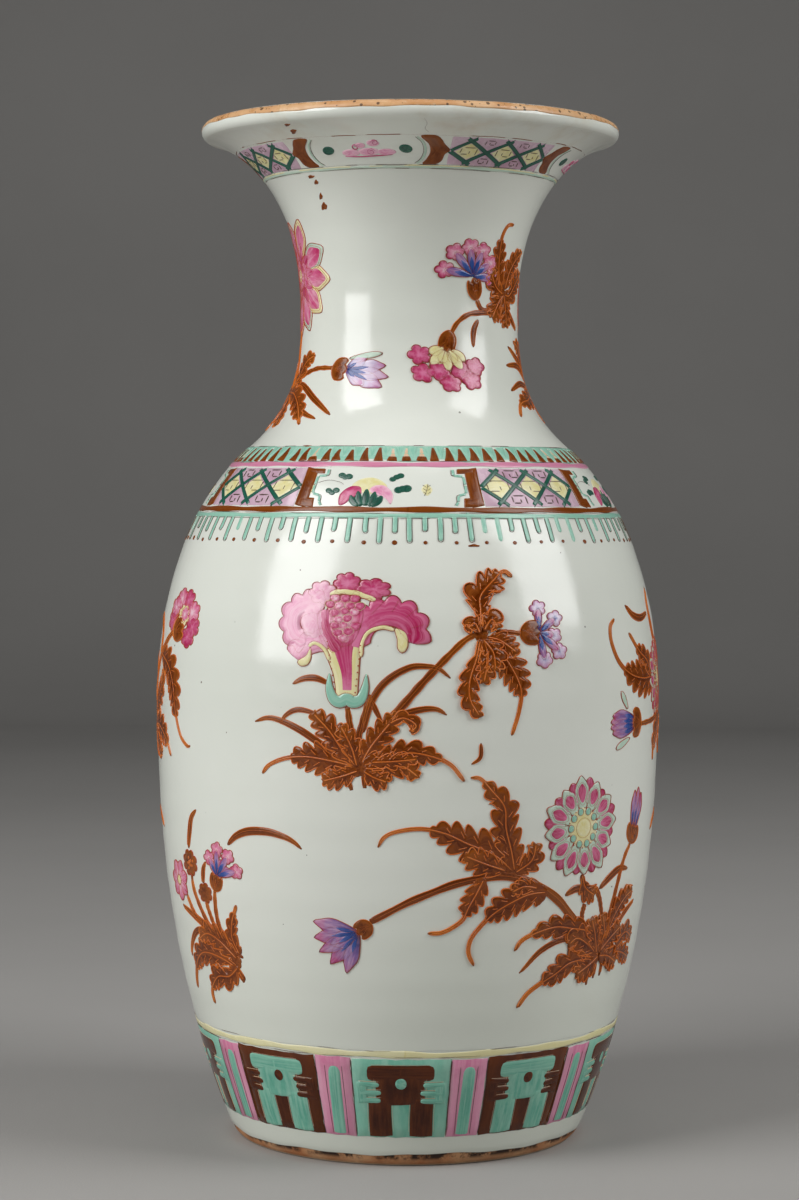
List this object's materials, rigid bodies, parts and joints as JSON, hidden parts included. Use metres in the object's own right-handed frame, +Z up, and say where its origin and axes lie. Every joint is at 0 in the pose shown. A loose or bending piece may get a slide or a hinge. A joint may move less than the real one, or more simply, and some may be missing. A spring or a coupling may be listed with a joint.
{
  "type": "baluster vase",
  "caption": "Tall porcelain baluster vase with a trumpet mouth and rolled lip, a recessed base on a foot ring, enamelled with flowers and bands.",
  "frame": {"origin": "centre of the foot ring, on the plane that the vase stands on", "axes": "+Z up along the vase's axis of revolution; -Y is the side shown in front"},
  "size_m": [0.2236, 0.2236, 0.45],
  "materials": {
    "glazed_porcelain": "glossy clear glaze over white porcelain, a little grey-green",
    "biscuit_foot": "unglazed porcelain, burnt orange-brown at the glaze edge",
    "luting_slip": "thin porcelain slip, fired with the body",
    "brown_enamel": "dark translucent brown enamel, glossy",
    "iron_red_outline": "fine raised brush line in iron red",
    "pink_enamel": "opaque pink enamel, deep to pale",
    "turquoise_enamel": "opaque turquoise enamel",
    "green_enamel": "dark blue-green enamel",
    "yellow_enamel": "pale yellow enamel",
    "blue_enamel": "blue enamel bleeding to lilac",
    "celadon_enamel": "thin pale green enamel",
    "lip_dressing": "buff-brown dressing on the lip, pitted and rubbed"
  },
  "bodies": {
    "root": {"foot_section": "biscuit_foot", "base_plate": "glazed_porcelain", "base_slip": "luting_slip", "foot_seam_slip": "luting_slip", "lower_body": "glazed_porcelain", "belly_seam_slip": "luting_slip", "upper_body": "glazed_porcelain", "neck_seam_slip": "luting_slip", "neck": "glazed_porcelain", "mouth_seam_slip": "luting_slip", "mouth": "glazed_porcelain"}
  },
  "joints": []
}
